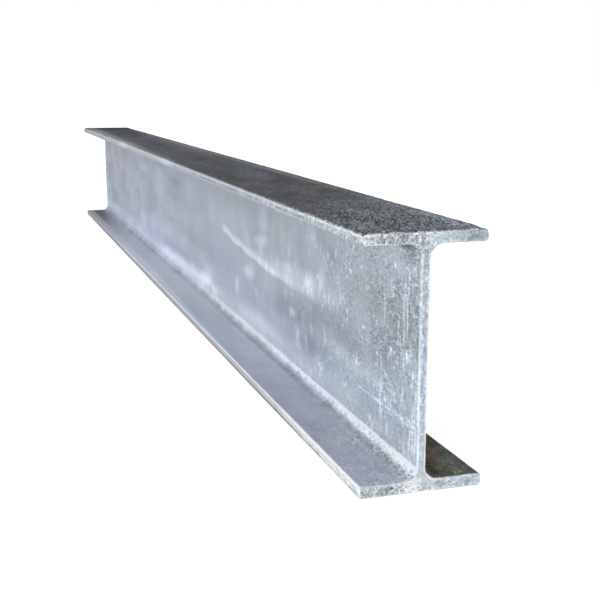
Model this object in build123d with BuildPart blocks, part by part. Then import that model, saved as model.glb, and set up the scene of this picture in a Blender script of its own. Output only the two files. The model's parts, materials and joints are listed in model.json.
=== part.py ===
"""Hot-rolled steel H-beam, 150 x 75 mm, sawn to length and hot-dip galvanised.

One solid: two parallel flanges and the web between them, rolled from one billet.
The beam stands on its lower flange. +Z is up, +Y runs along the beam, and the
origin is in the middle of the underside. Lengths are in millimetres.
"""

import os

from build123d import *

# The rolled section
section_depth = 150.0  # over both flanges
flange_width = 75.0
flange_thickness = 7.0
web_thickness = 5.0
root_radius = 8.0  # concave fillet where the web runs into a flange
toe_radius = 1.5  # rounded corners along the tips of the flanges

# The cut piece
beam_length = 1350.0
end_edge_radius = 0.5  # sawn edges, softened by the zinc coat

half_flange = flange_width / 2
half_web = web_thickness / 2
half_length = beam_length / 2
same_place = 0.001  # how near two coordinates are to count as one


def is_root(corner):
    """True for the four inner corners between the web and the flanges."""
    return abs(abs(corner.X) - half_web) < same_place


def is_toe(corner):
    """True for the eight outer corners at the flange tips."""
    return abs(abs(corner.X) - half_flange) < same_place


def is_end_edge(edge):
    """True for the edges around the two sawn end faces."""
    return abs(abs(edge.center().Y) - half_length) < same_place


with BuildPart() as h_beam:
    with BuildSketch(Plane.XZ) as section:
        flange_middles = (flange_thickness / 2, section_depth - flange_thickness / 2)
        with Locations(*[(0, height) for height in flange_middles]):
            Rectangle(flange_width, flange_thickness)
        with Locations((0, section_depth / 2)):
            Rectangle(web_thickness, section_depth - 2 * flange_thickness)
        fillet(section.vertices().filter_by(is_root), radius=root_radius)
        fillet(section.vertices().filter_by(is_toe), radius=toe_radius)
    extrude(amount=half_length, both=True)
    fillet(h_beam.edges().filter_by(is_end_edge), radius=end_edge_radius)

h_beam.part.label = "h_beam"

os.makedirs("parts", exist_ok=True)
export_step(h_beam.part, "parts/h_beam.step")

steel_density = 7.85e-6  # kilograms for each cubic millimetre
print("mass kg", round(h_beam.part.volume * steel_density, 2))
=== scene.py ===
import json
import math

import bpy
import numpy as np
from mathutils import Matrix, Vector, geometry, noise


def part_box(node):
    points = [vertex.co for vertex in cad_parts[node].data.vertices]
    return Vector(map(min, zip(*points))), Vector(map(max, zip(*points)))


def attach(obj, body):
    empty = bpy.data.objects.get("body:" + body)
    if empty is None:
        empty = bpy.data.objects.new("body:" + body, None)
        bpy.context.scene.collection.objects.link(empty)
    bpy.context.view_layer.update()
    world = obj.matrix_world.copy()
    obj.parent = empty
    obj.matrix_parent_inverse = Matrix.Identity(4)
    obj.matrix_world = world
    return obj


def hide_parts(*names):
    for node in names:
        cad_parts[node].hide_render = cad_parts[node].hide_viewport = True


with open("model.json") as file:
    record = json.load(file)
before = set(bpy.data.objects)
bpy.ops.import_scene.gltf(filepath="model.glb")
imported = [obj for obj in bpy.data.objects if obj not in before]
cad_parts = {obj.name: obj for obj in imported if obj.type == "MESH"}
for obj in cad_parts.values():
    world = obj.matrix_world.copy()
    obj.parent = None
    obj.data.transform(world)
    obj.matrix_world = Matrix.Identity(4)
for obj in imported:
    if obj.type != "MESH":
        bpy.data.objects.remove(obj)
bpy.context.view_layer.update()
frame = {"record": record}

# The rolled section
# One bar of hot-rolled steel: two parallel flanges and the web between them, with concave
# roots where they meet and round toes at the flange tips. The rolls shape it in one pass.
MM = 0.001
beam_low, beam_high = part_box("h_beam")
half_width = beam_high.x
half_depth = (beam_high.z - beam_low.z) / 2
mid_height = (beam_high.z + beam_low.z) / 2
beam_length = beam_high.y - beam_low.y
mount_x = {mount["name"]: mount["pos_m"][0] for mount in frame["record"]["mounts"]}
half_web = mount_x["web_right"]
flange_thickness = 7 * MM
root_radius = 8 * MM
inner_face = half_depth - flange_thickness

# Width and height of the rounding at each toe, first on its outer corner and then on the inner one:
# the lower toes are the sharpest
top_left_toe = MM * np.array([(2.6, 2.6), (1.6, 1.6)])
top_right_toe = MM * np.array([(1.9, 1.9), (1.7, 1.9)])
low_toes = MM * np.array([(1.1, 1.1), (1.1, 1.1)])

# Steps between points of the outline, for each stretch from the web to the middle of a flange
web_steps = 14
root_steps = 7
inner_face_steps = 6
toe_corner_steps = 3
toe_face_steps = 2
face_steps = 9


def straight(start, end, steps):
    """Places and outward normals along a straight stretch, its last place left out."""
    share = np.arange(2 * steps)[:, None] / (2 * steps)
    travel = np.subtract(end, start)
    normal = np.array([-travel[1], travel[0]]) / np.hypot(*travel)
    return start + share * travel, np.repeat([normal], 2 * steps, axis=0)


def rounded(centre, reach, first, last, steps, hollow=False):
    """The same along an arc or oval between two angles in degrees. A hollow one faces its centre."""
    angle = np.radians(first + (last - first) * np.arange(2 * steps) / (2 * steps))
    spoke = np.stack([np.cos(angle), np.sin(angle)], axis=1)
    normal = spoke / reach
    normal /= np.hypot(*normal.T)[:, None]
    return centre + reach * spoke, -normal if hollow else normal


def quarter_outline(outer_toe, inner_toe):
    """From the middle of the web up its left side and over the left toe to the middle of the top."""
    toe_top = (-half_width + outer_toe[0], half_depth - outer_toe[1])
    toe_low = (-half_width + inner_toe[0], inner_face + inner_toe[1])
    root = (-half_web - root_radius, inner_face - root_radius)
    stretches = [
        straight((-half_web, 0), (-half_web, root[1]), web_steps),
        rounded(root, root_radius, 0, 90, root_steps, hollow=True),
        straight((root[0], inner_face), (toe_low[0], inner_face), inner_face_steps),
        rounded(toe_low, inner_toe, 270, 180, toe_corner_steps),
        straight((-half_width, toe_low[1]), (-half_width, toe_top[1]), toe_face_steps),
        rounded(toe_top, outer_toe, 180, 90, toe_corner_steps),
        straight((toe_top[0], half_depth), (0, half_depth), face_steps),
    ]
    return [np.concatenate(parts) for parts in zip(*stretches)]


def placed_quarter(quarter, flip_x, flip_height, back=False):
    """The quarter mirrored into its place. Walked back, it starts at the middle of the flange."""
    flange_middle = ([[0, half_depth]], [[0, 1]])
    if back:
        quarter = [np.concatenate([middle, part[:0:-1]]) for middle, part in zip(flange_middle, quarter)]
    return [part * (flip_x, flip_height) for part in quarter]


def whole_outline():
    """Once round the section, clockwise from the middle of the underside, as (x, height) pairs."""
    upper_left = quarter_outline(*top_left_toe)
    upper_right = quarter_outline(*top_right_toe)
    lower = quarter_outline(*low_toes)
    quarters = [
        placed_quarter(lower, 1, -1, back=True),
        placed_quarter(upper_left, 1, 1),
        placed_quarter(upper_right, -1, 1, back=True),
        placed_quarter(lower, -1, -1),
    ]
    return [np.concatenate(parts) for parts in zip(*quarters)]


outline, outline_normal = whole_outline()
outline_step = np.hypot(*np.diff(outline, axis=0, append=outline[:1]).T)
walked = np.concatenate([[0], np.cumsum(outline_step)])

# Stations along the beam: close together at the sawn ends, where the coat is lumpiest
edge_radius = 0.7 * MM
near_zone = 62 * MM
far_zone = 30 * MM
front_zone = 230 * MM


def end_stations(reach):
    """Distances from a sawn end: over its rounded edge, then a step each millimetre."""
    return np.concatenate([edge_radius * np.array([0, 0.25, 0.6, 1]), np.arange(1.5 * MM, reach, 1 * MM)])


near_end = end_stations(near_zone)
far_end = beam_length - end_stations(far_zone)[::-1]
middle = np.concatenate([
    np.arange(near_zone + 1.5 * MM, front_zone, 2 * MM),
    np.arange(front_zone, beam_length - far_zone - 2 * MM, 6 * MM),
])


def zone(rows, places_round, normals_round):
    """A stretch of the beam as rows of places and normals, one row for each station."""
    shape = (len(rows), len(places_round), 3)
    places, normals = np.empty(shape), np.zeros(shape)
    places[..., 0] = places_round[:, 0]
    places[..., 1] = beam_low.y + rows[:, None]
    places[..., 2] = places_round[:, 1] + mid_height
    normals[..., [0, 2]] = normals_round
    return places, normals


zones = [
    zone(near_end, outline, outline_normal),
    zone(middle, outline[::2], outline_normal[::2]),
    zone(far_end, outline, outline_normal),
]
places = np.concatenate([part[0].reshape(-1, 3) for part in zones])
normals = np.concatenate([part[1].reshape(-1, 3) for part in zones])

# The zinc coat
# The sawn bar is dipped in molten zinc. The coat is thin on the flat faces, gathers in beads along
# the toes and sawn edges, pools in the roots and runs in ripples where the bar drains at its ends.


def lumps(points, size, shift):
    """Smooth random heights from -1 to 1, in bumps about as wide as size in metres."""
    return np.array([noise.noise(place) for place in points / size + shift])


def fade(value, none, full):
    """0 where value is at none, 1 where it is at full, and smooth in between."""
    share = np.clip((value - none) / (full - none), 0, 1)
    return share * share * (3 - 2 * share)


# Runs of zinc that set on the web by the sawn ends, in millimetres: place from the end, top, foot
run_width = 1 * MM
web_runs = [
    (17, 131, 84),
    (22, 130, 60),
    (52, 114, 84),
    (57, 70, 24),
    (46, 33, 16),
    (24, 64, 38),
    (30, 102, 72),
    (4.5, 66, 15),
    (8, 52, 15),
    (12, 44, 16),
]


def coat(points):
    """How far the zinc stands off the steel, and how much of it is a bead or a pool."""
    x, y, z = points.T
    aside, along, up = np.abs(x), y - beam_low.y, z - beam_low.z
    height = np.abs(z - mid_height)
    from_end = np.minimum(along, beam_high.y - y)
    toe = fade(np.hypot(half_width - aside, half_depth - height), 3.4 * MM, 1.4 * MM)
    corner = np.hypot(aside - half_web - 0.3 * root_radius, height - inner_face + 0.3 * root_radius)
    root = fade(corner, 8 * MM, 2 * MM)
    end = fade(from_end, 2.2 * MM, 0.3 * MM)
    on_web = fade(aside, 12 * MM, 5 * MM)
    web_edge = end * fade(height, inner_face - 5 * MM, inner_face - 10 * MM)
    upper_root = fade(aside, 12 * MM, 8 * MM)
    upper_root *= fade(z - mid_height, inner_face - 12 * MM, inner_face - 7 * MM)
    wave = lumps(points, (0.16, 0.22, 0.16), 3.1)
    peel = lumps(points, (0.018, 0.026, 0.018), 7.7)
    toe_lumps = lumps(points, (0.005, 0.007, 0.005), 1.3) + 0.7 * lumps(points, 0.0026, 5.9)
    toe_lumps *= fade(from_end, 260 * MM, 150 * MM)
    toe_lumps += 0.6 + 0.5 * lumps(points, (0.01, 0.03, 0.01), 15.5)
    root_lumps = 0.6 + lumps(points, (0.008, 0.013, 0.008), 2.4) + 0.6 * lumps(points, 0.0036, 8.2)
    end_lumps = 0.5 + 1.2 * lumps(points, 0.0024, 9.4)
    ripples = np.maximum(0, lumps(points, (0.02, 0.0028, 0.055), 4.6))
    ripples *= on_web * fade(from_end, 45 * MM, 8 * MM)
    sway = from_end + 1.6 * MM * lumps(points, (0.05, 0.05, 0.014), 6.6)
    runs = 0
    for run_place, run_top, run_foot in web_runs:
        line = np.exp(-((sway - run_place * MM) / run_width) ** 2)
        line *= fade(up, run_foot * MM, (run_foot + 10) * MM)
        line *= fade(up, run_top * MM, (run_top - 12) * MM)
        runs = np.maximum(runs, line)
    runs *= on_web * (0.75 + 0.6 * lumps(points, (0.01, 0.01, 0.006), 12.2))
    worn = fade(np.hypot((half_width - x) / 1.7, half_depth + mid_height - z), 3.6 * MM, 1.2 * MM)
    worn *= fade(along, 24 * MM, 3 * MM)
    stand = 0.10 * MM * wave + 0.03 * MM * peel - 0.5 * MM * worn
    stand += 0.20 * MM * toe * toe_lumps + 0.22 * MM * root * root_lumps + 0.18 * MM * end * end_lumps
    stand += 0.24 * MM * ripples + 0.28 * MM * runs + 0.12 * MM * web_edge
    bead = 0.9 * toe * toe_lumps + 0.3 * root * root_lumps * fade(up, 130 * MM, 100 * MM)
    flange_edge = end * fade(height, inner_face - 9 * MM, inner_face - 1 * MM) * (1 - 0.8 * upper_root)
    bead += 0.6 * flange_edge * end_lumps
    bead += 0.95 * web_edge + runs + 0.3 * ripples
    return stand, np.clip(bead, 0, 1)


def edge_drop(points):
    """How far a sawn edge is rounded back, near the two ends."""
    from_end = np.minimum(points[:, 1] - beam_low.y, beam_high.y - points[:, 1])
    reach = np.clip(edge_radius - from_end, 0, edge_radius)
    return edge_radius - np.sqrt(np.maximum(edge_radius**2 - reach**2, 0))


stand, bead = coat(places)
skin = places + normals * (stand - edge_drop(places))[:, None]

# Faces of the long sides. The map for the finish lies flat: along the beam, then round the section.
# The ends take up more of it than the plain middle, since their coat is finer
side_share = 0.83
map_stops = np.array([0, 250 * MM, beam_length - 60 * MM, beam_length])
map_margin = 0.002
map_places = np.array([map_margin, 0.42, 0.90, 1 - map_margin])
faces, face_map = [], []


def flat_map(y, place_round):
    """Where a place on the long sides lies on the flat map."""
    along = np.interp(y - beam_low.y, map_stops, map_places)
    around = map_margin + (side_share - 2 * map_margin) * place_round / walked[-1]
    return np.stack([along, around], axis=-1)


first = 0
zone_ids, zone_maps = [], []
for part, step in zip(zones, (1, 2, 1)):
    rows, columns = part[0].shape[:2]
    ids = first + np.arange(rows * columns).reshape(rows, columns)
    first += rows * columns
    around = np.append(walked[:-1:step], walked[-1])
    zone_ids.append(np.concatenate([ids, ids[:, :1]], axis=1))
    zone_maps.append(flat_map(part[0][:, :1, 1] + 0 * around, np.repeat([around], rows, axis=0)))


def corners(grid, order):
    """The grid's cells as faces, with each corner given as (row offset, column offset)."""
    rows, columns = grid.shape[0] - 1, grid.shape[1] - 1
    cells = np.stack([grid[a:a + rows, b:b + columns] for a, b in order], axis=2)
    return cells.reshape(rows * columns, len(order), -1)


square = [(0, 0), (0, 1), (1, 1), (1, 0)]
for ids, spots in zip(zone_ids, zone_maps):
    faces += corners(ids[..., None], square)[..., 0].tolist()
    face_map += corners(spots, square).tolist()


def join(fine_ids, fine_map, coarse_ids, coarse_map, fine_is_first):
    """Three triangles for each coarse step, which has two fine steps beside it."""
    fine = list(zip(fine_ids.tolist(), fine_map.tolist()))
    coarse = list(zip(coarse_ids.tolist(), coarse_map.tolist()))
    for step in range(len(coarse) - 1):
        left, middle, right = fine[2 * step:2 * step + 3]
        this, following = coarse[step:step + 2]
        for triple in ((left, middle, this), (middle, following, this), (middle, right, following)):
            ids, spots = zip(*(triple if fine_is_first else triple[::-1]))
            faces.append(list(ids))
            face_map.append(list(spots))


join(zone_ids[0][-1], zone_maps[0][-1], zone_ids[1][0], zone_maps[1][0], True)
join(zone_ids[2][0], zone_maps[2][0], zone_ids[1][-1], zone_maps[1][-1], False)
side_faces = len(faces)


def add(tree, kind, inputs=None, **settings):
    """A shader node, with its inputs given as values or as the sockets that feed them."""
    made = tree.nodes.new("ShaderNode" + kind)
    for name, value in settings.items():
        setattr(made, name, value)
    for name, value in (inputs or {}).items():
        if isinstance(value, bpy.types.NodeSocket):
            tree.links.new(value, made.inputs[name])
        else:
            made.inputs[name].default_value = value
    return made


def tree_of(values):
    """The shader tree that the first socket among the values belongs to."""
    return next(value.id_data for value in values if isinstance(value, bpy.types.NodeSocket))


def calc(operation, *values):
    """One sum on numbers or sockets."""
    return add(tree_of(values), "Math", dict(enumerate(values)), operation=operation).outputs["Value"]


def vector_calc(operation, *values):
    """One sum on places or directions. A length or a dot product comes out as a number."""
    made = add(tree_of(values), "VectorMath", dict(enumerate(values)), operation=operation)
    return made.outputs["Value" if operation in ("LENGTH", "DOT_PRODUCT") else "Vector"]


def joined(*axes):
    """Three numbers made into a place."""
    return add(tree_of(axes), "CombineXYZ", dict(enumerate(axes))).outputs["Vector"]


def product(*values):
    """Several masks or values multiplied together."""
    result = values[0]
    for value in values[1:]:
        result = calc("MULTIPLY", result, value)
    return result


def plus(so_far, amount, *masks):
    """The value so far, with the amount added where all of the masks are on."""
    return calc("MULTIPLY_ADD", product(*masks), amount, so_far)


def apart(value, middle):
    """How far the value is from the middle, to either side."""
    return calc("ABSOLUTE", calc("SUBTRACT", value, middle))


def centred(tone):
    """A tone from 0 to 1, lowered to lie evenly about 0."""
    return calc("SUBTRACT", tone, 0.5)


def outside(mask):
    """1 where the mask is off."""
    return calc("SUBTRACT", 1.0, mask)


def ease(value, none, full):
    """0 where value is at none, 1 where it is at full, and smooth in between."""
    inputs = {"Value": value, "From Min": none, "From Max": full}
    made = add(tree_of([value]), "MapRange", inputs, interpolation_type="SMOOTHSTEP", clamp=False)
    return made.outputs["Result"]


def ramp(distance, none, full):
    """The same for a distance, with both limits in millimetres."""
    return ease(distance, none * MM, full * MM)


def mm(*sizes):
    """Sizes in millimetres, made into metres."""
    return tuple(size * MM for size in sizes)


def clouds(place, size, detail=2.0, roughness=0.5):
    """Soft random tones from 0 to 1 in patches as large as size, in metres along each axis."""
    inputs = {"Vector": vector_calc("DIVIDE", place, size), "Detail": detail, "Roughness": roughness}
    return add(tree_of([place]), "TexNoise", {"Scale": 1.0, **inputs}).outputs["Fac"]


def new_group(name, inputs, output):
    """An empty shader group with named sockets: its tree, its entry sockets and its exit node."""
    group = bpy.data.node_groups.new(name, "ShaderNodeTree")
    for label, kind in inputs.items():
        group.interface.new_socket(label, in_out="INPUT", socket_type="NodeSocket" + kind)
    group.interface.new_socket(output, in_out="OUTPUT", socket_type="NodeSocketFloat")
    return group, group.nodes.new("NodeGroupInput").outputs, group.nodes.new("NodeGroupOutput")


def placed_group(group, inputs):
    """The group placed in a material with its own values. Returns its output socket."""
    return add(tree_of(inputs.values()), "Group", inputs, node_tree=group).outputs[0]


# Zinc sets in crystals of slightly different grey, broken up by a finer mottle
zinc_grain, entry, leave = new_group("zinc_grain", {"Place": "Vector", "Size": "Vector"}, "Grain")
mottle = clouds(entry["Place"], entry["Size"], detail=3.0, roughness=0.6)
spread = vector_calc("DIVIDE", entry["Place"], entry["Size"])
crystal = add(zinc_grain, "TexVoronoi", {"Vector": spread, "Scale": 0.8})
shade = add(zinc_grain, "SeparateColor", {"Color": crystal.outputs["Color"]}).outputs["Red"]
mixed = plus(product(mottle, 0.9), 0.35, shade)
zinc_grain.links.new(ease(mixed, 0.32, 0.92), leave.inputs["Grain"])

# Small round specks of dross, in some of the cells of a random grid
zinc_specks, entry, leave = new_group(
    "zinc_specks", {"Place": "Vector", "Size": "Vector", "Share": "Float"}, "Specks"
)
spread = vector_calc("DIVIDE", entry["Place"], entry["Size"])
cell = add(zinc_specks, "TexVoronoi", {"Vector": spread, "Scale": 1.0})
chance = add(zinc_specks, "SeparateColor", {"Color": cell.outputs["Color"]})
present = calc("LESS_THAN", chance.outputs["Red"], entry["Share"])
reach = plus(0.16, 0.30, chance.outputs["Green"])
spot = ease(cell.outputs["Distance"], reach, calc("MULTIPLY", reach, 0.35))
zinc_specks.links.new(product(spot, present), leave.inputs["Specks"])

# A wash mark is a slanted oval with a soft edge, added to the tone so far. Its three axes are given as
# directions divided by its half sizes
wash_mark, entry, leave = new_group(
    "wash_mark",
    {"Place": "Vector", "Centre": "Vector", "Across": "Vector", "Along": "Vector", "Up": "Vector",
     "Soft": "Float", "Lightness": "Float", "So Far": "Float"},
    "Tone",
)
offset = vector_calc("SUBTRACT", entry["Place"], entry["Centre"])
local = joined(*[vector_calc("DOT_PRODUCT", offset, entry[name]) for name in ("Across", "Along", "Up")])
reach = vector_calc("LENGTH", local)
inside = ease(reach, 1.0, outside(entry["Soft"]))
tone = plus(entry["So Far"], entry["Lightness"], inside)
wash_mark.links.new(tone, leave.inputs["Tone"])


def new_finish(name):
    """An empty material: itself, its tree, the place on the bar and that place's three axes."""
    made = bpy.data.materials.new(name)
    made.use_nodes = True
    made.node_tree.nodes.clear()
    place = add(made.node_tree, "TexCoord").outputs["Object"]
    return made, made.node_tree, place, add(made.node_tree, "SeparateXYZ", {"Vector": place}).outputs


rolled_zinc, tree, place, axes = new_finish("rolled_zinc")
along = calc("SUBTRACT", axes["Y"], beam_low.y)
from_end = calc("MINIMUM", along, calc("SUBTRACT", beam_length, along))
height = calc("SUBTRACT", axes["Z"], beam_low.z)
aside = calc("ABSOLUTE", axes["X"])
bead_mask = add(tree, "Attribute", attribute_name="bead").outputs["Fac"]
on_left = ease(axes["X"], half_web, -half_web)
far_stretch = ease(along, beam_length - 120 * MM, beam_length - 20 * MM)
first_stretch = ramp(along, 200, 30)
near = plus(first_stretch, 0.3, far_stretch)
on_top = ease(axes["Z"], beam_high.z - 1.7 * MM, beam_high.z - 0.9 * MM)
on_web = ramp(aside, 14, 5)
on_low_flange = product(ramp(aside, 8, 11), ramp(height, 10, 8), ramp(height, 5, 6.4))

# Broad patches, smears that hang down the sides, a foot of the web painted paler as reflected light,
# darker toward the far end, and painted shade along the top of the web under the upper flange
broad = clouds(place, mm(60, 170, 50), detail=3.0)
hanging = clouds(place, mm(18, 26, 45), detail=3.0, roughness=0.55)
tone = plus(0.355, 0.20, broad)
hang_depth = plus(0.04, 0.29, ramp(along, 520, 220))
tone = plus(tone, hang_depth, centred(hanging))
blotch = centred(clouds(place, mm(50, 85, 22)))
blotch = product(blotch, on_web, ramp(along, 380, 600))
tone = plus(tone, 0.34, blotch)
# The foot of the web is painted paler, a painted reflection of light off the lower flange
foot = product(on_web, ramp(height, 66, 30))
tone = plus(tone, 0.09, foot)
hem = product(on_web, ramp(height, 36, 22))
tone = plus(tone, 0.10, hem)
tone = plus(tone, -0.10, ramp(along, 200, 1250))
tone = plus(tone, -0.07, ramp(along, 950, 1340))
tone = plus(tone, -0.03, on_web, ramp(along, 1080, 1300), ramp(height, 18, 34))
tone = plus(tone, 0.06, on_web, ramp(from_end, 34, 8), ramp(height, 110, 80))
# Painted shade along the top of the web, under the upper flange
shade_under_flange = product(on_web, ramp(height, 108, 128), ramp(along, 180, 320), ramp(along, 1120, 980))
tone = plus(tone, -0.055, shade_under_flange)

# The grain is strongest near the ends, in patches, with short dashes that point down. On the top it is
# drawn out along the bar, at a slant
top_slant = 0.34
patch = ease(clouds(place, mm(20, 34, 17)), 0.38, 0.64)
grain = placed_group(zinc_grain, {"Place": place, "Size": mm(1.1, 2.6, 1.1)})
grain_depth = plus(0.13, 0.30, patch)
grain_depth = plus(0.045, grain_depth, near)
grain_depth = product(grain_depth, outside(on_top), plus(1.0, -0.25, on_low_flange))
tone = plus(tone, grain_depth, centred(grain))
slanted = joined(plus(axes["X"], -top_slant, axes["Y"]), axes["Y"], axes["Z"])
top_grain = placed_group(zinc_grain, {"Place": slanted, "Size": mm(0.9, 4.2, 0.9)})
top_grain_depth = product(on_top, plus(0.26, 0.42, near))
tone = plus(tone, top_grain_depth, centred(top_grain))
dash = clouds(place, mm(3, 2.2, 8))
dash_depth = product(on_web, ramp(from_end, 150, 15), plus(1.0, -0.65, ramp(along, 900, 1100)))
pale_dash = product(dash_depth, ease(dash, 0.55, 0.74))
dark_dash = product(dash_depth, ease(dash, 0.45, 0.28))
tone = plus(tone, 0.20, pale_dash)
tone = plus(tone, -0.14, dark_dash)
drip_lines = clouds(place, mm(4, 4.2, 7), detail=3.0, roughness=0.6)
drip_depth = product(on_web, patch, ramp(from_end, 300, 180), ramp(from_end, 50, 120))
tone = plus(tone, 0.24, drip_depth, ease(drip_lines, 0.54, 0.68))

# Marks left on the web as the bath ran off, with one painted shadow under the upper flange by the near
# end.
# The right side has the same marks, nearer to the near end
right_shift = 110 * MM
mark_y = calc("ADD", axes["Y"], product(calc("GREATER_THAN", axes["X"], 0), right_shift))
mark_place = joined(product(aside, -1), mark_y, axes["Z"])


def swirls(size, detail, roughness):
    """Random directions that turn from place to place, over about as far as size."""
    inputs = {"Vector": place, "Scale": 1 / size, "Detail": detail, "Roughness": roughness}
    swirl = add(tree, "TexNoise", inputs).outputs["Color"]
    return vector_calc("SUBTRACT", swirl, (0.5, 0.5, 0.5))


sway = swirls(13 * MM, detail=5.0, roughness=0.65)
ragged = vector_calc("MULTIPLY_ADD", sway, mm(0, 26, 17), mark_place)
fine_sway = swirls(6 * MM, detail=4.0, roughness=0.6)
uneven = vector_calc("MULTIPLY_ADD", fine_sway, mm(0, 16, 13), mark_place)

# Each mark, in millimetres from the near end and up from the floor: place along, height, half length,
# half height, slant in degrees, soft share of the edge, lightness
washes = [
    (215, 84, 92, 13, 0, 0.8, 0.17),
    (300, 86, 60, 8, -3, 0.8, 0.04),
    (250, 54, 90, 15, -3, 0.8, -0.11),
    (150, 66, 80, 12, 2, 1.0, -0.07),
    (190, 41, 72, 13, 0, 1.0, -0.12),
    (62, 50, 34, 14, 0, 1.0, 0.10),
    (110, 49, 75, 8, 2, 0.8, 0.10),
    (205, 36, 80, 9, 0, 0.9, -0.06),
    (140, 112, 30, 14, 0, 0.8, -0.07),
    (60, 100, 40, 16, 0, 0.9, -0.06),
    (640, 23, 190, 12, -1, 0.8, 0.22),
    (205, 20, 60, 7, 0, 0.9, 0.11),
    (62, 20, 28, 6, 0, 0.9, 0.11),
    (140, 84, 28, 10, 0, 1.0, 0.09),
    (545, 28, 46, 17, -12, 0.8, 0.20),
    (508, 20, 26, 8, 0, 0.8, 0.16),
    (365, 27, 110, 11, 3, 0.9, 0.12),
    (760, 22, 60, 9, 0, 0.7, 0.10),
    (900, 16, 480, 9, 0, 0.9, 0.09),
    (800, 90, 44, 22, 0, 1.0, 0.06),
    (1000, 85, 60, 24, 0, 1.0, 0.06),
    (560, 100, 50, 20, 0, 1.0, -0.06),
    (322, 116, 24, 16, 0, 1.0, 0.10),
    (12, 88, 40, 24, 0, 1.0, -0.17),
    (36, 130, 60, 9, 0, 1.0, 0.10),
    (690, 106, 130, 32, 0, 1.0, -0.08),
    (1050, 104, 70, 36, 0, 1.0, -0.08),
    (790, 50, 220, 18, -1, 1.0, 0.10),
    (1120, 28, 160, 14, 0, 1.0, 0.08),
    (1275, 40, 80, 18, 0, 1.0, -0.08),
    (1265, 113, 70, 13, 0, 1.0, 0.08),
    (950, 42, 54, 14, 0, 1.0, 0.08),
    (950, 112, 50, 9, 0, 1.0, 0.07),
    # Painted shadow under the upper flange, by the near end
    (20, 141, 26, 6, 0, 0.7, -0.30),
]
pale_spots = [
    (325, 30, 80, 8, 4, 0.7, 0.09),
    (328, 98, 36, 7, -8, 0.9, 0.16),
    (240, 55, 12, 7, 0, 0.9, 0.26),
    (227, 40, 9, 14, 0, 1.0, 0.28),
    (370, 64, 32, 10, -8, 0.9, 0.22),
    (415, 43, 12, 14, 20, 0.9, 0.24),
    (345, 50, 14, 6, 10, 1.0, 0.12),
    (280, 85, 12, 14, 0, 1.0, 0.12),
    (252, 84, 18, 12, 0, 1.0, 0.10),
    (197, 84, 14, 15, 0, 1.0, 0.14),
    (165, 58, 8, 6, 0, 1.0, 0.12),
    (193, 53, 6, 5, 0, 1.0, 0.16),
    (213, 59, 6, 5, 0, 1.0, 0.12),
    (160, 37, 36, 2.4, -19, 1.0, 0.14),
    (178, 34, 26, 2.0, -22, 1.0, 0.12),
    (190, 120, 8, 5, 0, 1.0, 0.14),
    (15, 77, 7, 5, 0, 0.7, 0.26),
    (36, 47, 8, 6, 0, 0.8, 0.16),
    (22, 36, 24, 3, 0, 0.8, 0.24),
    (205, 40, 7, 8, 0, 0.9, 0.16),
    (258, 66, 6, 7, 0, 0.9, 0.14),
]
flecks = [
    (37, 125, 2.4, 2.6, 0, 0.8, 0.42),
    (111, 109, 3.4, 2.0, 0, 0.8, 0.40),
    (118, 104, 2.4, 1.6, 0, 0.8, 0.28),
    (140, 116, 2.0, 6.0, 8, 0.8, 0.34),
    (88, 77, 2.6, 1.8, 0, 0.8, 0.40),
    (42, 74, 2.4, 2.2, 0, 0.8, 0.36),
    (64, 66, 2.2, 2.0, 0, 0.8, 0.36),
    (176, 30, 3.0, 2.4, 0, 0.8, 0.26),
    (53.5, 48, 1.0, 6, 0, 0.8, 0.26),
    (55.5, 30, 1.0, 8, 0, 0.8, 0.28),
    (46, 21, 1.0, 6, 0, 0.8, 0.28),
    (41, 39, 1.0, 7, 0, 0.8, 0.22),
    (22, 50, 0.9, 11, 0, 0.8, 0.20),
]


def laid_mark(so_far, where, centre, half_size, soft, lightness, slant=0):
    """The tone so far with one mark laid over it. Centre and half sizes are in millimetres."""
    lean = math.radians(slant)
    wide, long, high = [half * MM for half in half_size]
    return placed_group(wash_mark, {
        "Place": where,
        "Centre": (centre[0] * MM, beam_low.y + centre[1] * MM, beam_low.z + centre[2] * MM),
        "Across": (1 / wide, 0, 0),
        "Along": (0, math.cos(lean) / long, math.sin(lean) / long),
        "Up": (0, -math.sin(lean) / high, math.cos(lean) / high),
        "Soft": soft,
        "Lightness": lightness,
        "So Far": so_far,
    })


# How far each mark reaches to either side of the web's face, in millimetres
mark_reach = 9
for where, marks in ((ragged, washes), (uneven, pale_spots), (mark_place, flecks)):
    for centre_along, centre_height, half_long, half_high, slant, soft, lightness in marks:
        centre = (-half_web / MM, centre_along, centre_height)
        tone = laid_mark(tone, where, centre, (mark_reach, half_long, half_high), soft, lightness, slant)

# The tide line: a pale curved streak with a crisp lower edge, where the level of the bath rested
tide_start, tide_reach = 200 * MM, 264 * MM
tide_low, tide_climb = 73.5 * MM, 14 * MM
mark_axes = add(tree, "SeparateXYZ", {"Vector": ragged}).outputs
tide_along = calc("SUBTRACT", mark_axes["Y"], beam_low.y)
swing = calc("DIVIDE", calc("SUBTRACT", tide_along, tide_start), tide_reach)
tide = plus(tide_low, tide_climb, swing, swing)
unsteady = plus(height, 9 * MM, centred(hanging))
above = calc("SUBTRACT", unsteady, tide)
streak = product(
    on_web, ramp(above, -1.4, 0.6), ramp(above, 9, 2.5), ramp(tide_along, 150, 330),
    ramp(tide_along, 474, 462),
)
tone = plus(tone, 0.24, streak)
drips = product(
    on_web, ease(hanging, 0.50, 0.66), ramp(above, 0, 3), ramp(above, 40, 12),
    ramp(tide_along, 100, 170), ramp(tide_along, 420, 300),
)
tone = plus(tone, 0.16, drips)

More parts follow.
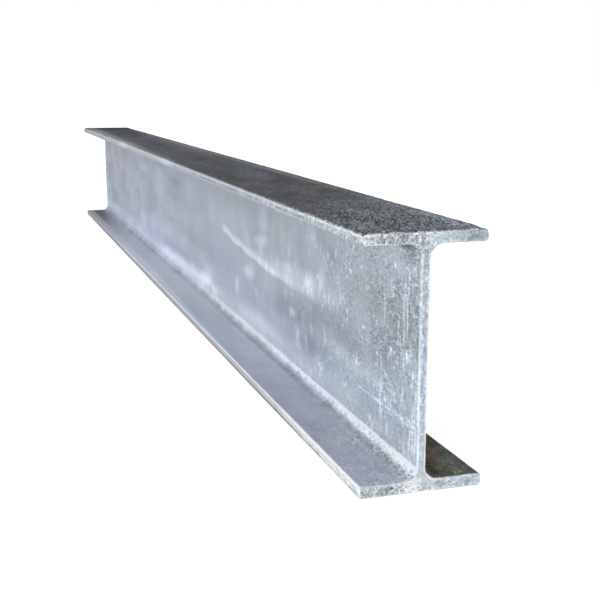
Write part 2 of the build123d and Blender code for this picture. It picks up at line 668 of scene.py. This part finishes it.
# A row of dots along the foot of the web, and loose specks of dross in clusters
dots = ease(clouds(place, mm(50, 1.9, 50), detail=3.0), 0.44, 0.58)
row_offset = apart(height, 36.5 * MM)
dot_row = product(
    dots, on_left, on_web, ramp(row_offset, 1.3, 0.3), ramp(along, 102, 82), ramp(along, 12, 34),
)
tone = plus(tone, 0.46, dot_row)
cluster = ease(clouds(place, mm(16, 26, 14)), 0.44, 0.68)
speck_share = plus(0.05, 0.42, cluster)
speck_size = mm(2.2, 4.2, 2.3)
specks = placed_group(zinc_specks, {"Place": place, "Size": speck_size, "Share": speck_share})
speck_depth = plus(0.05, 0.40, near)
plain = calc("MAXIMUM", on_top, product(on_low_flange, 0.5))
speck_depth = product(speck_depth, outside(plain))
tone = plus(tone, speck_depth, specks)
drop_size = mm(4, 8, 10)
drops = placed_group(zinc_specks, {"Place": uneven, "Size": drop_size, "Share": 0.30})
drop_depth = product(on_web, ramp(from_end, 290, 170))
tone = plus(tone, 0.28, drops, drop_depth)
top_size = mm(1.2, 5, 1.2)
top_share = plus(0.20, 0.26, cluster)
top_specks = placed_group(zinc_specks, {"Place": slanted, "Size": top_size, "Share": top_share})
top_depth = product(on_top, plus(0.12, 0.74, near))
tone = plus(tone, top_depth, top_specks)

# Beads of zinc are paler. The lower root on the left carries a bright band, partly pooled zinc and partly
# a painted highlight, and the face of the toe below it is a painted highlight too. The upper left toe has
# a white crust by the near end
toe_face = (half_width - 1.6 * MM, half_width - 0.5 * MM)
top_left_edge = product(on_left, ease(aside, half_width - 5 * MM, half_width - 3 * MM))
far_edge = product(top_left_edge, ramp(along, 650, 1050))
bead_lightness = plus(0.42, -0.36, far_edge)
settled = product(top_left_edge, ramp(along, 30, 160))
bead_lightness = plus(bead_lightness, -0.32, settled)
bead_lightness = product(bead_lightness, plus(1.0, -0.8, on_top))
tone = plus(tone, bead_lightness, bead_mask)
under_bead = apart(height, 2 * half_depth - 3.9 * MM)
shade_gaps = clouds(place, mm(50, 45, 50), detail=4.0, roughness=0.6)
bead_shade = product(
    ease(aside, half_width - 3 * MM, half_width - 1.5 * MM), ramp(under_bead, 1.2, 0.4),
    ease(shade_gaps, 0.44, 0.56), ramp(along, 60, 150), ramp(along, 660, 420),
)
tone = plus(tone, -0.18, bead_shade)
edge_noise = clouds(place, mm(2.5, 5, 2.5), detail=3.0, roughness=0.6)
close = ramp(along, 340, 200)
# The bright band along the lower left root: pooled zinc and a painted highlight, speckled along its lower
# edge
band_edge = clouds(place, mm(80, 9, 80), detail=4.0, roughness=0.6)
band_low = plus(8.7 * MM, 1.4 * MM, ramp(along, 60, 200))
band_low = plus(band_low, 2.4 * MM, band_edge)
above_band_low = calc("SUBTRACT", height, band_low)
gaps = product(ramp(above_band_low, 3.2, 0.7), ease(edge_noise, 0.58, 0.44))
root_pool_and_highlight = product(
    on_left, ramp(aside, 10, 7), ramp(above_band_low, -1.1, 1.1), ramp(height, 15, 13.6),
    plus(1.0, -0.6, gaps), close,
)
band_lightness = plus(0.06, 0.95, edge_noise)
tone = plus(tone, band_lightness, root_pool_and_highlight)
tone = plus(tone, -0.26, root_pool_and_highlight, ease(edge_noise, 0.50, 0.28))
crust = product(
    on_left, ease(aside, *toe_face), ramp(height, 142, 144),
    ramp(height, 149, 147.6), ramp(along, 330, 100), ease(edge_noise, 0.47, 0.60),
)
tone = plus(tone, 0.24, crust)
# A thin painted highlight line along the root, further along the bar
line_offset = apart(height, 14.4 * MM)
root_highlight_line = product(
    on_left, on_web, ramp(line_offset, 2.2, 1.0), ramp(along, 200, 280), ramp(along, 640, 420),
)
tone = plus(tone, 0.15, root_highlight_line)
shade_top = plus(13.5 * MM, 2.4 * MM, ramp(along, 300, 950))
below_shade_top = calc("SUBTRACT", shade_top, height)
shade_low = plus(height, -0.6 * MM, ramp(along, 360, 540))
root_shade = product(
    on_left, ramp(aside, 15, 9), ramp(below_shade_top, 0, 3.5), ramp(shade_low, 6.9, 8.7),
)
shade_depth = plus(-0.42, 0.10, close)
tone = plus(tone, shade_depth, root_shade)
# Painted highlight on the foot of the web beyond the near stretch, where the root's highlight climbs
tone = plus(tone, 0.10, hem, ramp(height, 34, 18), outside(close))
# The face of the lower left toe is painted near white, a painted highlight
low_toe_highlight = product(
    on_left, ease(aside, *toe_face), ramp(height, 8.6, 7),
    ramp(height, 2.2, 3.0), plus(0.55, 0.7, edge_noise),
)
toe_lightness = plus(-0.04, 0.15, ramp(along, 620, 200))
toe_lightness = plus(toe_lightness, 0.30, ramp(along, 240, 60))
toe_lightness = plus(toe_lightness, -0.16, ramp(along, 850, 1050))
tone = plus(tone, toe_lightness, low_toe_highlight)
# A painted shadow along the foot of the lower left toe, away from the ends
toe_foot_shade = product(
    on_left, ease(aside, *toe_face), ramp(height, 2.8, 1.8),
    ramp(from_end, 40, 200),
)
tone = plus(tone, -0.42, toe_foot_shade)
# The tops of the lower flanges are painted lighter, a painted reflection of the web, more so along the
# middle of the bar; a pale outer strip, strongest at the far end, and a darker trough by the far end
# follow
tone = plus(tone, 0.21, on_low_flange)
mid_rise = plus(0.10, 0.09, ramp(along, 450, 700))
mid_length = product(on_low_flange, ramp(along, 90, 300), ramp(along, 1340, 1040))
tone = plus(tone, mid_rise, mid_length)
strip_reach = plus(aside, 8 * MM, ramp(along, 320, 800))
outer_strip = product(
    on_low_flange, ramp(strip_reach, 33.5, 37), ramp(aside, 37.2, 36), ramp(along, 260, 360),
    plus(1.0, 1.4, ramp(along, 1080, 1300)),
)
tone = plus(tone, 0.10, outer_strip)
trough = product(on_low_flange, ramp(apart(aside, 21 * MM), 10, 2), ramp(along, 1080, 1280))
tone = plus(tone, -0.12, trough)
by_root = product(on_low_flange, ramp(aside, 17, 10.5))
tone = plus(tone, -0.06, by_root)
tone = plus(tone, 0.30, by_root, specks, near)

# The top face is painted darker, a painted reflection of the dark surroundings, darker still at the far
# end.
# It is painted lighter by the near end on the right, along the right toe, and on a wedge by the left toe
# that widens to the far end
tone = plus(tone, -0.20, on_top)
near_top_light = plus(0.5, 0.5, ramp(axes["X"], -30, 34))
near_top_light = product(on_top, first_stretch, near_top_light)
tone = plus(tone, 0.12, near_top_light)
tone = plus(tone, -0.22, on_top, far_stretch)
tone = plus(tone, 0.05, on_top, ramp(along, 430, 700))
top_lit_strip = product(on_top, ramp(apart(axes["X"], 30 * MM), 7, 1.5), shade_gaps)
tone = plus(tone, 0.27, top_lit_strip)
from_toe = calc("ADD", axes["X"], half_width)
wedge_reach = plus(-4.5 * MM, 0.0245, along)
wedge = product(on_top, ease(calc("DIVIDE", from_toe, wedge_reach), 1.0, 0.25), ramp(along, 380, 1000))
tone = plus(tone, 0.42, wedge)

# Wisps and smudges on the top face, in millimetres: place along, place across, half length, half width,
# lightness
top_marks = [
    (30, -24, 34, 8, 0.10),
    (100, -5, 70, 11, 0.09),
    (375, 2, 90, 17, 0.14),
    (260, 17, 130, 17, -0.08),
    (370, -24, 110, 12, -0.05),
    (820, 18, 300, 20, 0.06),
    (30, 25, 60, 14, 0.08),
    (225, 29, 90, 8, -0.08),
    (380, 31, 100, 8, 0.10),
    (780, 29, 190, 9, 0.09),
    (1030, 27, 220, 11, 0.07),
]

# Pale patches on the upper left toe, in millimetres: place along, half length, lightness
toe_patches = [
    (570, 45, 0.15),
    (885, 62, 0.16),
]
smear_soft = 0.9
top_height = 2 * half_depth / MM
toe_height = top_height - 3
smeared = vector_calc("MULTIPLY_ADD", sway, mm(12, 60, 0), place)
for centre_along, centre_across, half_long, half_wide, lightness in top_marks:
    centre = (centre_across, centre_along, top_height)
    tone = laid_mark(tone, smeared, centre, (half_wide, half_long, 2), smear_soft, lightness)
for centre_along, half_long, lightness in toe_patches:
    centre = (-half_width / MM, centre_along, toe_height)
    tone = laid_mark(tone, smeared, centre, (12, half_long, 7), smear_soft, lightness)

# Grime and painted shade on the lower flange on the right: darker and tinted over its near stretch and in
# patches beyond, with a painted brown shadow of the web beside it
stains = ease(clouds(place, mm(30, 90, 30), detail=3.0), 0.46, 0.64)
first_grime_and_shade = ramp(along, 230, 110)
grime_and_shade_spread = calc("MAXIMUM", first_grime_and_shade, product(stains, 0.5))
grime_and_shade = product(
    grime_and_shade_spread, ease(axes["X"], half_web + 0.5 * MM, half_web + 3 * MM), ramp(height, 24, 13),
    ramp(height, 4.6, 6), ramp(from_end, 0.8, 2),
)
grime_and_shade_patch = ease(clouds(place, mm(7, 12, 7), detail=3.0), 0.46, 0.66)
tone = plus(tone, 0.20, grime_and_shade, grime_and_shade_patch)
tone = plus(tone, 0.42, grime_and_shade, centred(edge_noise))
tone = plus(tone, 0.24, grime_and_shade, specks)
tone = plus(tone, -0.36, grime_and_shade)
# The painted shadow of the web: brown, out to a line that slants away from the web along the bar
shadow_line = plus(axes["X"], -0.45, from_end)
web_shadow = product(grime_and_shade, ramp(shadow_line, 13, 8))

# The greys of the zinc: tone, colour
zinc_tones = [
    (0.00, (0.075, 0.078, 0.088)),
    (0.25, (0.20, 0.22, 0.242)),
    (0.50, (0.385, 0.437, 0.482)),
    (0.75, (0.60, 0.66, 0.71)),
    (1.00, (0.93, 0.95, 0.965)),
]


def zinc_colour(tone):
    """The grey of the zinc for a tone from 0, charcoal, to 1, white bloom."""
    blend = add(tree_of([tone]), "ValToRGB", {"Fac": tone})
    stops = blend.color_ramp.elements
    for stop, (position, colour) in zip(stops, (zinc_tones[0], zinc_tones[-1])):
        stop.position = position
        stop.color = (*colour, 1)
    for position, colour in zinc_tones[1:-1]:
        stops.new(position).color = (*colour, 1)
    return blend.outputs["Color"]


def tinted(colour, mask, tint):
    """The colour multiplied by a tint where the mask is on."""
    inputs = {0: mask, 6: colour, 7: (*tint, 1)}
    return add(tree_of([mask]), "Mix", inputs, data_type="RGBA", blend_type="MULTIPLY").outputs[2]


def finish_with(colour, metal, roughness, relief, strength, depth):
    """The bump and the shader that end a zinc material."""
    tree = tree_of([colour])
    bump = add(tree, "Bump", {"Strength": strength, "Distance": depth, "Height": relief})
    shader = add(tree, "BsdfPrincipled", {
        "Base Color": colour, "Metallic": metal, "Roughness": roughness, "Normal": bump.outputs["Normal"],
        "Specular Tint": (0.9, 0.9, 0.92, 1),
    })
    add(tree, "OutputMaterial", {"Surface": shader.outputs["BSDF"]})


# The grey drifts a little toward blue, violet or brown. White bloom is rougher and shines less than
# bare zinc
violet = ease(clouds(place, mm(50, 130, 35)), 0.42, 0.62)
colour = zinc_colour(tone)
colour = tinted(colour, violet, (0.985, 0.975, 1.015))
colour = tinted(colour, near, (0.985, 1.0, 0.98))
colour = tinted(colour, foot, (0.975, 0.985, 1.03))
colour = tinted(colour, product(on_web, ramp(height, 20, 36)), (0.972, 0.996, 1.03))
far_web = product(on_web, ramp(along, 280, 900))
colour = tinted(colour, far_web, (1.0, 1.0, 1.075))
hue_drift = ease(clouds(place, mm(22, 75, 30)), 0.36, 0.64)
colour = tinted(colour, product(on_low_flange, hue_drift), (1.0, 0.965, 1.025))
colour = tinted(colour, by_root, (1.0, 1.0, 0.975))
lavender = product(
    on_web, ramp(above, 4, -8), ramp(height, 22, 44), ramp(along, 120, 230), ramp(along, 700, 480),
)
colour = tinted(colour, lavender, (1.0, 0.965, 1.02))
colour = tinted(colour, product(low_toe_highlight, ramp(along, 20, 60)), (1.0, 0.965, 0.98))
violet_flange = product(on_low_flange, ramp(along, 420, 120))
colour = tinted(colour, violet_flange, (0.985, 0.945, 0.97))
colour = tinted(colour, on_top, (1.03, 1.0, 0.99))
top_drift = ease(clouds(place, mm(30, 110, 30)), 0.42, 0.58)
colour = tinted(colour, product(on_top, top_drift), (1.05, 1.0, 0.94))
colour = tinted(colour, near_top_light, (0.95, 0.98, 1.04))
# The dirt tint of the grime and painted shade, and the brown of the web's painted shadow
colour = tinted(colour, grime_and_shade, (0.99, 0.93, 0.70))
colour = tinted(colour, web_shadow, (0.86, 0.66, 0.60))
bloom = ease(tone, 0.62, 0.95)
roughness = plus(0.36, 0.16, broad)
roughness = plus(roughness, 0.10, bloom)
roughness = plus(roughness, -0.12, bead_mask)
metal = plus(0.62, -0.25, bloom)
relief = plus(grain, 0.6, specks)
top_relief = product(on_top, near, calc("ADD", top_grain, top_specks))
relief = plus(relief, 0.9, top_relief)
relief = plus(relief, 8.0, root_pool_and_highlight, edge_noise)
finish_with(colour, metal, roughness, relief, strength=0.35, depth=0.12 * MM)

# The sawn ends
# Each end is cut square with a saw. The zinc that drains off it sets in small lumps and pits all
# over the cut face, with a bead round its edge.
cap_spacing = 0.8 * MM
cap_margin = 0.7 * MM
worn_toe_wide, worn_toe_high = 6 * MM, 4 * MM

# Both caps lie on the flat map beside the long sides, the far one half a map further along
cap_map_start = (0.02, side_share + 0.085)
cap_map_reach = (0.3, 0.15)
far_cap_shift = 0.5


def inside_section(x, height):
    """True for places on the cut face that keep clear of its edge, and of the worn toe at top right."""
    top_right = (x > 0) & (height > 0)
    toe_wide = np.where(top_right, worn_toe_wide, top_left_toe[0, 0])
    toe_high = np.where(top_right, worn_toe_high, top_left_toe[0, 1])
    x, height = np.abs(x), np.abs(height)
    in_flange = x < half_width - cap_margin
    in_flange &= (height > inner_face + cap_margin) & (height < half_depth - cap_margin)
    in_web = (x < half_web - cap_margin) & (height < inner_face + 2 * cap_margin)
    from_root = np.hypot(x - half_web - root_radius, height - inner_face + root_radius)
    in_root = (x < half_web + root_radius) & (height > inner_face - root_radius)
    in_root &= (height < inner_face + 2 * cap_margin) & (from_root > root_radius + cap_margin)
    over_x = (x - half_width + toe_wide) / (toe_wide - cap_margin)
    over_height = (height - half_depth + toe_high) / (toe_high - cap_margin)
    past_toe = (over_x > 0) & (over_height > 0) & (np.hypot(over_x, over_height) > 1)
    return (in_flange & ~past_toe) | in_web | in_root


across = np.arange(-half_width, half_width, cap_spacing)
upward = np.arange(-half_depth, half_depth, cap_spacing * math.sqrt(0.75))
cap_x, cap_height = np.meshgrid(across, upward)
cap_x[::2] += cap_spacing / 2
kept = inside_section(cap_x, cap_height)
cap_x, cap_height = cap_x[kept], cap_height[kept]


def cut_face(points):
    """Lumps and pits that stand off the cut face, and how much of the place is a bead by its edge."""
    section = points[:, [0, 2]] - (0, mid_height)
    to_edge = np.min(np.hypot(*(section[:, None] - outline[None]).transpose(2, 0, 1)), axis=1)
    drops = 0.35 + 1.1 * lumps(points, 2.6 * MM, 17.7)
    edge_bead = np.clip(fade(to_edge, 2.0 * MM, 0.6 * MM) * drops, 0, 1)
    by_root = fade(np.abs(section[:, 0]), 12 * MM, 9 * MM)
    by_root *= fade(section[:, 1], inner_face - 10 * MM, inner_face - 6 * MM)
    by_root *= fade(section[:, 1], inner_face + 2 * MM, inner_face + 0.5 * MM)
    edge_bead *= 1 - 0.8 * by_root
    stand = 0.12 * MM * lumps(points, 4.2 * MM, 11.3) + 0.18 * MM * lumps(points, 2.0 * MM, 14.9)
    return stand + 0.14 * MM * edge_bead, edge_bead


def cap_map(spot, outward):
    """Where a place on a cut face lies on the flat map."""
    start = cap_map_start[0] + far_cap_shift * (outward > 0)
    along = start + cap_map_reach[0] * spot[1] / (2 * half_depth)
    return [along, cap_map_start[1] + cap_map_reach[1] * spot[0] / (2 * half_width)]


# Each cap: its zone, the row of places round its edge, where it is along the bar and which way it faces
caps = [(0, 0, beam_low.y, -1), (2, -1, beam_high.y, 1)]
for zone_number, row, end_y, outward in caps:
    ring_ids = zone_ids[zone_number][row][:-1]
    ring = skin[ring_ids]
    ring_stand, ring_bead = cut_face(ring)
    ring[:, 1] = end_y + outward * ring_stand
    skin[ring_ids] = ring
    bead[ring_ids] = np.maximum(bead[ring_ids], 0.7 * ring_bead)
    inner_points = np.stack([cap_x, np.full(len(cap_x), end_y), cap_height + mid_height], axis=1)
    inner_stand, inner_bead = cut_face(inner_points)
    inner_points[:, 1] += outward * inner_stand
    inner_ids = len(skin) + np.arange(len(inner_points))
    skin = np.concatenate([skin, inner_points])
    bead = np.concatenate([bead, inner_bead])
    flat = [Vector(spot) for spot in np.concatenate([ring, inner_points])[:, [0, 2]]]
    count = len(ring)
    rim = [(n, (n + 1) % count) for n in range(count)]
    spots, _, cells, source, _, _ = geometry.delaunay_2d_cdt(flat, rim, [], 1, 1e-7)
    ids = np.concatenate([ring_ids, inner_ids])[[found[0] for found in source]]
    for cell in cells:
        turn = cell if outward < 0 else cell[::-1]
        faces.append([int(ids[n]) for n in turn])
        face_map.append([cap_map(spots[n], outward) for n in turn])

sawn_zinc, tree, place, axes = new_finish("sawn_zinc")
aside = calc("ABSOLUTE", axes["X"])
height = calc("SUBTRACT", axes["Z"], beam_low.z)
below_top = calc("SUBTRACT", beam_high.z, axes["Z"])
on_web = product(ramp(aside, 7, 3), ramp(height, 8, 16), ramp(below_top, 6, 14))
on_low_flange = ramp(height, 11, 6)
on_top_flange = ramp(below_top, 11, 7)
on_left = ramp(axes["X"], 8, -8)

# Lumps of zinc over the whole cut, calmer round the lower root. Strokes hang down the upper flange and
# the web, small glints lie on the web and the lower right, and pits along the low edge
lump_grain = placed_group(zinc_grain, {"Place": place, "Size": mm(1.7, 1.7, 1.9)})
fine_grain = placed_group(zinc_grain, {"Place": place, "Size": mm(0.9, 0.9, 0.9)})
broad = clouds(place, mm(9, 9, 7))
strokes = clouds(place, mm(1.5, 1.5, 6))
tone = plus(0.47, 0.26, broad)
smooth_half = product(on_top_flange, ramp(axes["X"], -4, 14))
soft_low = product(on_low_flange, ramp(axes["X"], -6, 12))
by_low_root = product(ramp(aside, 12, 6), ramp(height, 60, 20), ramp(height, 2, 6))
calmed = plus(1.0, -0.6, by_low_root)
lump_depth = plus(0.45, -0.26, on_web)
lump_depth = plus(lump_depth, -0.14, soft_low)
lump_depth = plus(lump_depth, -0.22, smooth_half)
lump_depth = product(lump_depth, calmed)
tone = plus(tone, lump_depth, centred(lump_grain))
fine_depth = plus(0.50, -0.22, on_web)
fine_depth = plus(fine_depth, -0.14, soft_low)
fine_depth = plus(fine_depth, -0.26, smooth_half)
fine_depth = product(fine_depth, calmed)
tone = plus(tone, fine_depth, centred(fine_grain))
tone = plus(tone, 0.06, by_low_root)
stroke_depth = product(on_top_flange, plus(0.20, 0.45, on_left))
stroke_depth = plus(stroke_depth, 0.70, on_web, calmed)
tone = plus(tone, stroke_depth, centred(strokes))
glint_size = mm(1.3, 1.3, 2.2)
glints = placed_group(zinc_specks, {"Place": place, "Size": glint_size, "Share": 0.5})
glints = product(glints, calc("MAXIMUM", on_web, soft_low))
tone = plus(tone, 0.45, glints)
tone = plus(tone, -0.01, on_web)
pit_size = mm(2.0, 2.0, 1.6)
pits = placed_group(zinc_specks, {"Place": place, "Size": pit_size, "Share": 0.38})
low_edge = ramp(height, 3.4, 0.8)
toe_tip = product(on_top_flange, ease(aside, half_width - 7 * MM, half_width - 2 * MM))
pit_depth = plus(-0.08, -0.45, calc("MAXIMUM", low_edge, toe_tip))
tone = plus(tone, pit_depth, pits)

# Pale and dull patches of the cut: which flange, place across, half width in millimetres, lightness. On
# the upper flange the pale patch by the middle and the dull one at the right make a painted highlight
# that fades across the cut
cut_patches = [
    (on_top_flange, -34, 10, 0.10),
    (on_top_flange, -19, 9, -0.14),
    (on_top_flange, 6, 10, 0.12),
    (on_top_flange, 31, 10, -0.16),
    (on_low_flange, -21, 8, -0.10),
    (on_low_flange, -5, 9, 0.22),
    (on_low_flange, 14, 9, 0.06),
]
for flange, across_place, half_patch, lightness in cut_patches:
    offset = apart(axes["X"], across_place * MM)
    patch = product(flange, ease(offset, half_patch * MM, 0.2 * half_patch * MM))
    tone = plus(tone, lightness, patch)
bead_mask = add(tree, "Attribute", attribute_name="bead").outputs["Fac"]
tone = plus(tone, 0.34, bead_mask)
colour = zinc_colour(tone)
colour = tinted(colour, on_web, (0.96, 0.99, 1.03))
colour = tinted(colour, product(on_low_flange, on_left), (1.0, 1.0, 0.965))
colour = tinted(colour, smooth_half, (0.97, 1.0, 0.99))
colour = tinted(colour, soft_low, (0.97, 1.0, 1.02))
roughness = plus(0.38, 0.14, lump_grain)
relief = plus(lump_grain, 0.4, fine_grain)
finish_with(colour, 0.62, roughness, relief, strength=0.5, depth=0.2 * MM)

# The bar is one piece: its sides and ends make one closed skin
beam_mesh = bpy.data.meshes.new("galvanised_beam")
beam_mesh.from_pydata(skin.tolist(), [], faces)
map_layer = beam_mesh.uv_layers.new(name="OFBake")
map_layer.data.foreach_set("uv", np.concatenate([np.ravel(spots) for spots in face_map]))
bead_layer = beam_mesh.attributes.new("bead", "FLOAT", "POINT")
bead_layer.data.foreach_set("value", bead.astype(np.float32))
beam_mesh.polygons.foreach_set("use_smooth", np.ones(len(faces), bool))
beam_mesh.materials.append(rolled_zinc)
beam_mesh.materials.append(sawn_zinc)
slots = np.zeros(len(faces), np.int32)
slots[side_faces:] = 1
beam_mesh.polygons.foreach_set("material_index", slots)
beam = bpy.data.objects.new("galvanised_beam", beam_mesh)
bpy.context.scene.collection.objects.link(beam)
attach(beam, "root")
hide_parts("h_beam")

# The floor
# A plain pale studio floor that runs out to the horizon. It glows a little, so that the light comes
# up from below as well and the shadow stays faint.
floor_reach = 30
floor_height = beam_low.z - 0.4 * MM
floor_signs = ((-1, -1), (1, -1), (1, 1), (-1, 1))
floor_corners = [(a * floor_reach, b * floor_reach, floor_height) for a, b in floor_signs]
floor_mesh = bpy.data.meshes.new("floor")
floor_mesh.from_pydata(floor_corners, [], [(0, 1, 2, 3)])
floor = bpy.data.objects.new("floor", floor_mesh)
bpy.context.scene.collection.objects.link(floor)
floor_paint = bpy.data.materials.new("pale_floor")
floor_paint.use_nodes = True
floor_shader = floor_paint.node_tree.nodes["Principled BSDF"]
floor_shader.inputs["Base Color"].default_value = (0.30, 0.30, 0.30, 1)
floor_shader.inputs["Roughness"].default_value = 0.9
floor_shader.inputs["Specular IOR Level"].default_value = 0.1
floor_shader.inputs["Emission Color"].default_value = (1, 1, 1, 1)
floor_shader.inputs["Emission Strength"].default_value = 0.84
floor_mesh.materials.append(floor_paint)

# The studio
# Soft white light from all round, with a dark screen behind on the right and a wide soft lamp
# behind on the left.


def toward(azimuth, elevation):
    """The direction at an angle round from straight ahead and an angle up, both in degrees."""
    turn, climb = math.radians(azimuth), math.radians(elevation)
    return Vector((math.sin(turn) * math.cos(climb), math.cos(turn) * math.cos(climb), math.sin(climb)))


studio = bpy.data.worlds.new("studio")
studio.use_nodes = True
bpy.context.scene.world = studio
sky = studio.node_tree
sky.nodes.clear()
low_light = 0.85
high_light = 1.05
screen_light = 0.05
lamp_light = 1.3
outlook = add(sky, "TexCoord").outputs["Generated"]


def round_about(azimuth, elevation, outer, inner):
    """1 within inner degrees of a direction, fading to 0 at outer degrees."""
    way = tuple(toward(azimuth, elevation))
    nearness = vector_calc("DOT_PRODUCT", outlook, way)
    return ease(nearness, math.cos(math.radians(outer)), math.cos(math.radians(inner)))


climb = add(sky, "SeparateXYZ", {"Vector": outlook}).outputs["Z"]
level = plus(low_light, high_light - low_light, ease(climb, 0.35, 0.85))
level = plus(level, lamp_light, round_about(-24, 14, 26, 8))
screen = round_about(40, 14, 60, 40)
level = add(sky, "Mix", {0: screen, 2: level, 3: screen_light}, data_type="FLOAT").outputs[0]
glow = add(sky, "Background", {"Color": (1, 1, 1, 1), "Strength": level})
white = add(sky, "Background", {"Color": (1, 1, 1, 1), "Strength": 1.0})
seen = add(sky, "LightPath").outputs["Is Camera Ray"]
both = add(sky, "MixShader", {0: seen, 1: glow.outputs[0], 2: white.outputs[0]})
add(sky, "OutputWorld", {"Surface": both.outputs[0]})
bpy.context.scene.view_settings.view_transform = "Standard"

# The camera
# It stands in front of the near end, a little to its left, and looks down along the beam.
camera_lens = bpy.data.cameras.new("camera")
camera_lens.sensor_width = 36
camera_lens.lens = 62.83
camera_lens.clip_start = 0.05
camera = bpy.data.objects.new("camera", camera_lens)
camera.location = (-0.2351, beam_low.y - 0.5154, 0.2293)
camera.rotation_mode = "QUATERNION"
camera.rotation_quaternion = toward(17.551, -11.796).to_track_quat("-Z", "Y")
bpy.context.scene.collection.objects.link(camera)
bpy.context.scene.camera = camera
